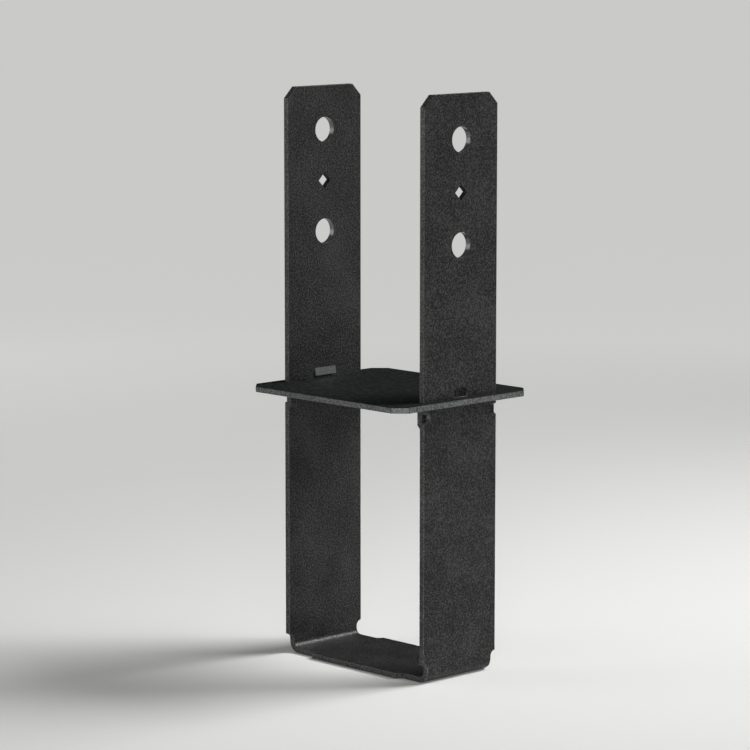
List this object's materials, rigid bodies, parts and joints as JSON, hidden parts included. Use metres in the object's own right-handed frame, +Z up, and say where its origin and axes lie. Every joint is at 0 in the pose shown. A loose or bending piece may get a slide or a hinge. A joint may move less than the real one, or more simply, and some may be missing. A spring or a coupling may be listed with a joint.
{
  "type": "column base",
  "caption": "Stand-off base for a timber post: a steel strap folded to a U whose legs pass through a flat bearing plate with cut corners.",
  "frame": {"origin": "centre of the strap's underside, on which the part stands", "axes": "+Z up along the legs, X from leg to leg along the bolts, Y along the strap's width"},
  "size_m": [0.165, 0.1396, 0.4357],
  "materials": {
    "strap": "fine-textured charcoal powder coat on 7 gauge strip steel",
    "plate": "fine-textured charcoal powder coat on 7 gauge sheet steel, paler on its sheared edges"
  },
  "bodies": {
    "root": {"u_strap": "strap", "bearing_plate": "plate"}
  },
  "joints": []
}
